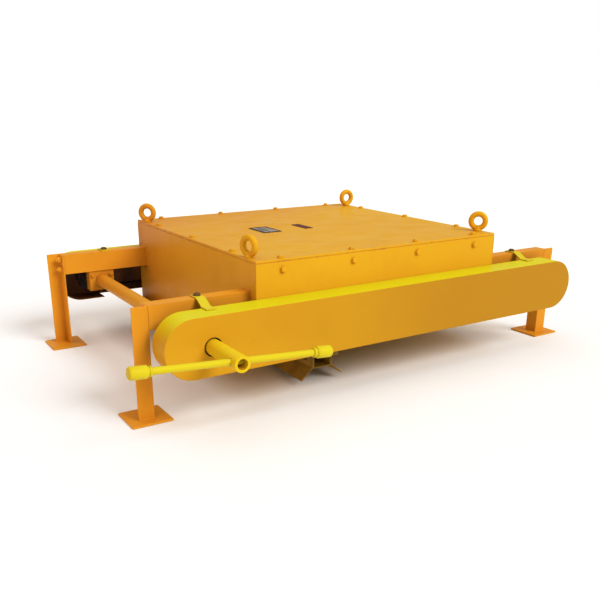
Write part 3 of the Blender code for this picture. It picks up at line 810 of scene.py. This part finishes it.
def drive():
    """Shafts, crank, sprockets, chains, and bearing blocks with bolts, welds and grease nipples."""
    tube_with_hole("drive_shaft", "drive", YELLOW, Bar)
    tube_with_hole("idler_shaft", "idler", YELLOW, None)
    crank()
    for label, side in (("front", -1), ("rear", 1)):
        sprocket("sprocket_drive_" + label, "drive", side)
        sprocket("sprocket_idler_" + label, "idler", side)
        chain("chain_" + label)
    nipples = bmesh.new()
    bolts = bmesh.new()
    welds = bmesh.new()
    nipple = [(0, -0.0005), (0.0040, -0.0005), (0.0040, 0.0030), (0.0022, 0.0042), (0.0020, 0.0075),
              (0.0029, 0.0092), (0.0020, 0.0108), (0, 0.0110)]
    for key, (_, sy) in CORNERS.items():
        refine("bearing_" + key, YELLOW, 0.0020, 3)
        lo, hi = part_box("bearing_" + key)
        mid = (lo + hi) / 2
        face_y = lo.y if sy > 0 else hi.y
        for x in (lo.x + 0.012, hi.x - 0.012):
            bolt(bolts, (x, face_y, lo.z + 0.060), (0, -sy, 0), 0.013, 0.0050)
        lathe(nipples, nipple, 20, (mid.x, mid.y, lo.z), (0, 0, -1))
        bead(welds, [(lo.x, face_y, hi.z), (hi.x, face_y, hi.z)], 0.0022)
    piece("bearing_bolts", fixed(bolts), "frame", YELLOW)
    piece("bearing_nipples", fixed(nipples), "frame", BOLT)
    piece("bearing_welds", fixed(welds), "frame", YELLOW, smooth=60)


# ---------------------------------------------------------------- scraper


def scraper():
    """Beam, flared skirts, hangers and rubber strip, with the bolts that hold them together."""
    refine("scraper_beam", OLIVE, 0.0030, 3)
    for node in ("scraper_skirt_left", "scraper_skirt_right", "scraper_hanger_front", "scraper_hanger_rear"):
        refine(node, OLIVE, 0.0008, 2)
    refine("scraper_wiper", RUBBER, 0.0015, 2)
    bolts = bmesh.new()
    for node, side in (("scraper_skirt_left", -1), ("scraper_skirt_right", 1)):
        lo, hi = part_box(node)
        x = (hi.x - 0.003) if side < 0 else (lo.x + 0.003)
        for i in range(7):
            y = lo.y + 0.045 + i * (hi.y - lo.y - 0.09) / 6
            bolt(bolts, (x, y, hi.z - 0.016), (side, 0, 0), 0.013, 0.0050)
    for node, side in (("scraper_hanger_front", -1), ("scraper_hanger_rear", 1)):
        lo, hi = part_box(node)
        mid = (lo + hi) / 2
        inner = hi.y if side < 0 else lo.y
        for x in (mid.x - 0.018, mid.x + 0.018):
            bolt(bolts, (x, inner + side * 0.022, lo.z + 0.0080), UP, 0.010, 0.0030, washer=0)
    piece("scraper_bolts", fixed(bolts), "scraper", BOLT)


# ---------------------------------------------------------------- inside the box


def hidden_inside():
    """The CAD solids that stay as they are, with better materials."""
    for node in [n for n in NODES if n.startswith("magnet_bank")]:
        paint(node, FERRITE)
    paint("back_yoke", YOKE)
    paint("cover_gasket", STAND)


def paint(node, mat):
    for slot in NODES[node].material_slots:
        slot.material = mat


# ---------------------------------------------------------------- stage


def stage():
    """Pale floor, a white surround and three soft distant lights."""
    bm = bmesh.new()
    bmesh.ops.create_grid(bm, x_segments=1, y_segments=1, size=40)
    mesh = bpy.data.meshes.new("floor")
    bm.to_mesh(mesh)
    bm.free()
    floor = bpy.data.objects.new("floor", mesh)
    bpy.context.scene.collection.objects.link(floor)
    floor.location.z = -0.0005
    m = Nodes("floor_paper")
    grain = m.noise(3.0, 2.0)
    m.set("Base Color", m.ramp(grain, (0.3, (0.86, 0.86, 0.86, 1)), (0.7, (0.88, 0.88, 0.88, 1))))
    m.set("Roughness", 0.9)
    m.set("Specular IOR Level", 0.1)
    mesh.materials.append(m.mat)
    world = bpy.data.worlds.new("studio")
    world.use_nodes = True
    tree = world.node_tree
    dim = tree.nodes["Background"]
    dim.inputs["Color"].default_value = (1.0, 0.96, 0.92, 1)
    dim.inputs["Strength"].default_value = 0.52
    plain = tree.nodes.new("ShaderNodeBackground")
    plain.inputs["Color"].default_value = (1.0, 1.0, 1.0, 1)
    plain.inputs["Strength"].default_value = 1.0
    path = tree.nodes.new("ShaderNodeLightPath")
    pick = tree.nodes.new("ShaderNodeMixShader")
    tree.links.new(path.outputs["Is Camera Ray"], pick.inputs[0])
    tree.links.new(dim.outputs[0], pick.inputs[1])
    tree.links.new(plain.outputs[0], pick.inputs[2])
    tree.links.new(pick.outputs[0], tree.nodes["World Output"].inputs[0])
    bpy.context.scene.world = world
    softbox("key", (0.36, -0.72, 0.62), 2.35, 32)
    softbox("overhead", (-0.10, 0.25, 1.0), 0.75, 70)
    softbox("fill", (-0.92, -0.30, 0.30), 0.70, 60, (1.0, 0.45, 0.20))


def softbox(name, towards, strength, angle, colour=(1, 1, 1)):
    """A distant soft light that comes from the direction given."""
    light = bpy.data.lights.new(name, "SUN")
    light.energy = strength
    light.color = colour
    light.angle = math.radians(angle)
    obj = bpy.data.objects.new(name, light)
    bpy.context.scene.collection.objects.link(obj)
    obj.rotation_euler = Vector(towards).to_track_quat("Z", "Y").to_euler()


def grade():
    """Plain display colour with a little contrast, as in a catalogue picture."""
    view = bpy.context.scene.view_settings
    view.view_transform = "Standard"
    view.use_curve_mapping = True
    curve = view.curve_mapping.curves[3]
    for x, y in ((0.25, 0.205), (0.80, 0.825)):
        curve.points.new(x, y)
    view.curve_mapping.update()


def camera():
    """Three-quarter view from the front left and a little above."""
    data = bpy.data.cameras.new("camera")
    cam = bpy.data.objects.new("camera", data)
    bpy.context.scene.collection.objects.link(cam)
    data.sensor_width = 36
    data.lens = 44.18
    data.shift_y = 0.10
    data.clip_start, data.clip_end = 0.05, 200
    az, el, roll = math.radians(32.478), math.radians(19.252), math.radians(0.224)
    look = Vector((math.sin(az) * math.cos(el), math.cos(az) * math.cos(el), -math.sin(el)))
    right = Vector((math.cos(az), -math.sin(az), 0))
    up = right.cross(look)
    rolled_right = right * math.cos(roll) + up * math.sin(roll)
    rolled_up = up * math.cos(roll) - right * math.sin(roll)
    turn = Matrix((rolled_right, rolled_up, -look)).transposed().to_4x4()
    cam.matrix_world = Matrix.Translation((MID.x - 1.5503, MID.y - 2.3852, 0.8946)) @ turn
    bpy.context.scene.camera = cam


magnet_box()
eyebolts()
plates()
stand()
guards()
drive()
scraper()
hidden_inside()
stage()
camera()
grade()
